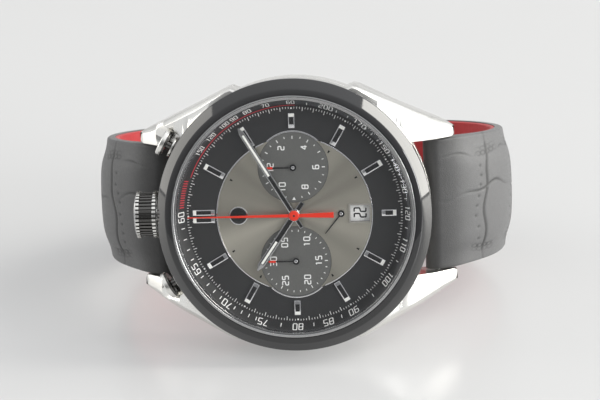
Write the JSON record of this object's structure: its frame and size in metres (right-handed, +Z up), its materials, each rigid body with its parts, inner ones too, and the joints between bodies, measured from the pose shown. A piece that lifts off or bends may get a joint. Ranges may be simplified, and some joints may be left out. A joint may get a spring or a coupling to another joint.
{
  "type": "chronograph wristwatch",
  "caption": "Round mechanical chronograph wristwatch with crown and pushers at 12 o'clock, lying on its side with its leather strap closed in a loop.",
  "frame": {"origin": "on the table, under the centre of the watch as it lies on its 9 o'clock side", "axes": "+Z up from the table; +X from 12 o'clock to 6 o'clock, along the closed strap's width across the wrist; the dial faces -Y and leans back"},
  "size_m": [0.0708, 0.0606, 0.0454],
  "materials": {
    "steel": "polished stainless steel",
    "black_bezel": "black glossy ceramic",
    "sapphire": "clear sapphire glass",
    "anthracite": "dark grey satin lacquer",
    "silver_dial": "silver satin",
    "polished_trim": "polished rhodium",
    "white_print": "white matt",
    "red_hand": "red lacquer",
    "black_hand": "black lacquer",
    "movement_metal": "rhodium-plated, brushed",
    "blued_steel": "blued steel",
    "ruby": "synthetic ruby, polished",
    "wheel_brass": "gilt brass",
    "seal_rubber": "black rubber",
    "grey_leather": "matt grey grained leather",
    "red_lining": "red smooth leather"
  },
  "bodies": {
    "case": {"case_middle": "steel", "bezel": "black_bezel", "crystal": "sapphire", "crystal_ring": "steel", "flange_ring": "anthracite", "dial_plate": "anthracite", "dial_centre_disc": "silver_dial", "counter_discs": "anthracite", "counter_rims": "polished_trim", "hour_markers": "polished_trim", "dial_emblem": "polished_trim", "date_frame": "polished_trim", "movement_ring": "movement_metal", "main_plate": "movement_metal", "train_bridge": "movement_metal", "balance_cock": "movement_metal", "bridge_screws": "blued_steel", "jewels": "ruby", "rotor_bearing": "steel", "crown_tube": "steel", "pusher_tubes": "steel", "case_back": "steel", "back_window": "sapphire", "back_gasket": "seal_rubber", "spring_bars": "steel"},
    "hour": {"hour_hand": "polished_trim"},
    "minute": {"minute_hand": "polished_trim", "centre_wheel": "wheel_brass"},
    "seconds": {"small_seconds_hand": "black_hand", "fourth_wheel": "wheel_brass"},
    "third": {"third_wheel": "wheel_brass"},
    "escape": {"escape_wheel": "movement_metal"},
    "barrel": {"barrel": "wheel_brass", "mainspring": "blued_steel"},
    "date": {"date_wheel": "white_print"},
    "stopwatch": {"stopwatch_hand": "red_hand", "stopwatch_runner": "wheel_brass"},
    "minute_counter": {"minute_counter_hand": "black_hand"},
    "hour_counter": {"hour_counter_hand": "black_hand"},
    "fork": {"pallet_fork": "movement_metal"},
    "balance": {"balance_wheel": "wheel_brass", "hairspring": "blued_steel"},
    "rotor": {"rotor": "movement_metal"},
    "crown_seal": {"crown_gasket": "seal_rubber"},
    "crown": {"crown": "steel", "winding_stem": "steel"},
    "start_pusher": {"pusher_start": "steel"},
    "reset_pusher": {"pusher_reset": "steel"},
    "strap_upper": {"strap_upper_leather": "grey_leather", "strap_upper_lining": "red_lining", "clasp_blade_pin": "steel"},
    "strap_lower": {"strap_lower_leather": "grey_leather", "strap_lower_lining": "red_lining", "clasp_cover_pin": "steel"},
    "blade": {"clasp_blade": "steel"},
    "cover": {"clasp_cover": "steel"},
    "button_upper": {"clasp_button_upper": "steel"},
    "button_lower": {"clasp_button_lower": "steel"}
  },
  "joints": [
    {"name": "small_seconds_turn", "type": "hinge", "parent": "case", "child": "seconds", "pos_m": [0.00765, -0.01866, 0.02252], "axis": [0, 0.9631, -0.269], "continuous": true},
    {"name": "third_wheel_turn", "type": "hinge", "parent": "case", "child": "third", "pos_m": [0.00436, -0.01761, 0.02628], "axis": [0, 0.9631, -0.269], "continuous": true},
    {"name": "escape_wheel_turn", "type": "hinge", "parent": "case", "child": "escape", "pos_m": [0.00921, -0.01981, 0.0184], "axis": [0, 0.9631, -0.269], "continuous": true},
    {"name": "minute_turn", "type": "hinge", "parent": "case", "child": "minute", "pos_m": [0, -0.0229, 0.02371], "axis": [0, 0.9631, -0.269], "continuous": true},
    {"name": "hour_turn", "type": "hinge", "parent": "case", "child": "hour", "pos_m": [0, -0.02251, 0.0236], "axis": [0, 0.9631, -0.269], "continuous": true},
    {"name": "barrel_turn", "type": "hinge", "parent": "case", "child": "barrel", "pos_m": [-0.00585, -0.01976, 0.01858], "axis": [0, 0.9631, -0.269], "continuous": true},
    {"name": "date_turn", "type": "hinge", "parent": "case", "child": "date", "pos_m": [0, -0.02107, 0.0232], "axis": [0, 0.9631, -0.269], "continuous": true},
    {"name": "stopwatch_turn", "type": "hinge", "parent": "case", "child": "stopwatch", "pos_m": [0, -0.02319, 0.02379], "axis": [0, 0.9631, -0.269], "continuous": true},
    {"name": "minute_counter_turn", "type": "hinge", "parent": "case", "child": "minute_counter", "pos_m": [0, -0.02421, 0.01603], "axis": [0, 0.9631, -0.269], "continuous": true},
    {"name": "hour_counter_turn", "type": "hinge", "parent": "case", "child": "hour_counter", "pos_m": [0, -0.02004, 0.03096], "axis": [0, 0.9631, -0.269], "continuous": true},
    {"name": "fork_swing", "type": "hinge", "parent": "case", "child": "fork", "pos_m": [0.00729, -0.01967, 0.01632], "axis": [0, 0.9631, -0.269], "range_deg": [-4, 4]},
    {"name": "balance_swing", "type": "hinge", "parent": "case", "child": "balance", "pos_m": [0.0046, -0.01983, 0.0135], "axis": [0, 0.9631, -0.269], "range_deg": [-150, 150], "stiffness_Nm_per_rad": 0.0000015},
    {"name": "rotor_turn", "type": "hinge", "parent": "case", "child": "rotor", "pos_m": [0, -0.01481, 0.02145], "axis": [0, 0.9631, -0.269], "continuous": true},
    {"name": "crown_pull", "type": "slide", "parent": "case", "child": "crown_seal", "axis": [-1, 0, 0], "range_m": [0, 0.0012]},
    {"name": "crown_turn", "type": "hinge", "parent": "crown_seal", "child": "crown", "pos_m": [-0.02275, -0.01895, 0.0226], "axis": [-1, 0, 0], "continuous": true},
    {"name": "start_push", "type": "slide", "parent": "case", "child": "start_pusher", "axis": [0.8746, -0.1304, -0.4669], "range_m": [0, 0.0008], "stiffness_N_per_m": 1500, "springref_m": -0.001},
    {"name": "reset_push", "type": "slide", "parent": "case", "child": "reset_pusher", "axis": [0.8746, 0.1304, 0.4669], "range_m": [0, 0.0008], "stiffness_N_per_m": 1500, "springref_m": -0.001},
    {"name": "strap_upper_fold", "type": "hinge", "parent": "case", "child": "strap_upper", "pos_m": [-0.0229, -0.01279, 0.02088], "axis": [0, -0.269, -0.9631], "range_deg": [0, 12]},
    {"name": "strap_lower_fold", "type": "hinge", "parent": "case", "child": "strap_lower", "pos_m": [0.0229, -0.01279, 0.02088], "axis": [0, -0.269, -0.9631], "range_deg": [0, 40]},
    {"name": "blade_fold", "type": "hinge", "parent": "strap_upper", "child": "blade", "pos_m": [-0.01607, 0.02277, 0.01095], "axis": [0, -0.269, -0.9631], "range_deg": [0, 25]},
    {"name": "cover_fold", "type": "hinge", "parent": "strap_lower", "child": "cover", "pos_m": [0.01057, 0.02433, 0.01051], "axis": [0, -0.269, -0.9631], "range_deg": [0, 45]},
    {"name": "upper_button_push", "type": "slide", "parent": "cover", "child": "button_upper", "axis": [0, -0.269, -0.9631], "range_m": [0, 0.0004], "stiffness_N_per_m": 600, "springref_m": -0.001},
    {"name": "lower_button_push", "type": "slide", "parent": "cover", "child": "button_lower", "axis": [0, 0.269, 0.9631], "range_m": [0, 0.0004], "stiffness_N_per_m": 600, "springref_m": -0.001}
  ],
  "couplings": [
    {"joint": "third_wheel_turn", "follows": "small_seconds_turn", "ratio": -0.13333},
    {"joint": "escape_wheel_turn", "follows": "small_seconds_turn", "ratio": -12},
    {"joint": "minute_turn", "follows": "small_seconds_turn", "ratio": 0.016667},
    {"joint": "hour_turn", "follows": "small_seconds_turn", "ratio": 0.0013889},
    {"joint": "barrel_turn", "follows": "small_seconds_turn", "ratio": -0.0027778},
    {"joint": "date_turn", "follows": "small_seconds_turn", "ratio": 0.000022401},
    {"joint": "minute_counter_turn", "follows": "stopwatch_turn", "ratio": 0.033333},
    {"joint": "hour_counter_turn", "follows": "stopwatch_turn", "ratio": 0.0013889}
  ]
}
